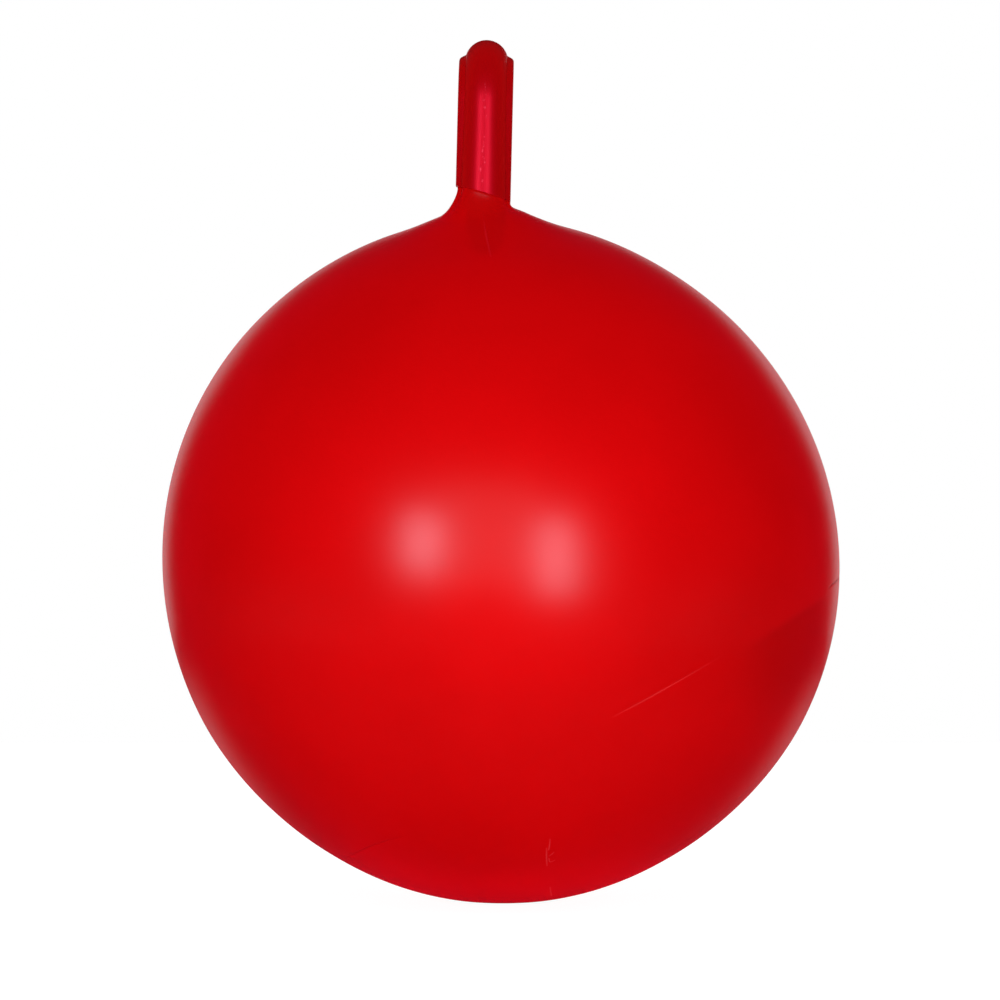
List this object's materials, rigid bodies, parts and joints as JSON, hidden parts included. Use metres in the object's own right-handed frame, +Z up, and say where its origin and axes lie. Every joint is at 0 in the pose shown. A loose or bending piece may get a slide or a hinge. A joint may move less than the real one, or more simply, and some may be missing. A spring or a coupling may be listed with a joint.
{
  "type": "hopper ball",
  "caption": "Hollow soft ball for sitting and bouncing on, with an upright loop handle on top and a push-in air valve at the back.",
  "frame": {"origin": "on the floor under the middle of the ball, at the centre of the flat it rests on", "axes": "+Z up through the ball and its handle, +X across the edge-on handle to the right seen from the front, +Y to the back, where the valve is"},
  "size_m": [0.4499, 0.4498, 0.5686],
  "materials": {
    "ball": "satin",
    "handle": "gloss",
    "valve_seat": "satin",
    "valve_plug": "gloss"
  },
  "bodies": {
    "ball": {"ball_shell": "ball", "handle_base": "ball", "handle_loop": "handle", "valve_seat": "valve_seat"},
    "plug": {"valve_plug": "valve_plug"}
  },
  "joints": [
    {"name": "plug_pull", "type": "slide", "parent": "ball", "child": "plug", "axis": [0, 0.9397, 0.342], "range_m": [0, 0.03]}
  ]
}
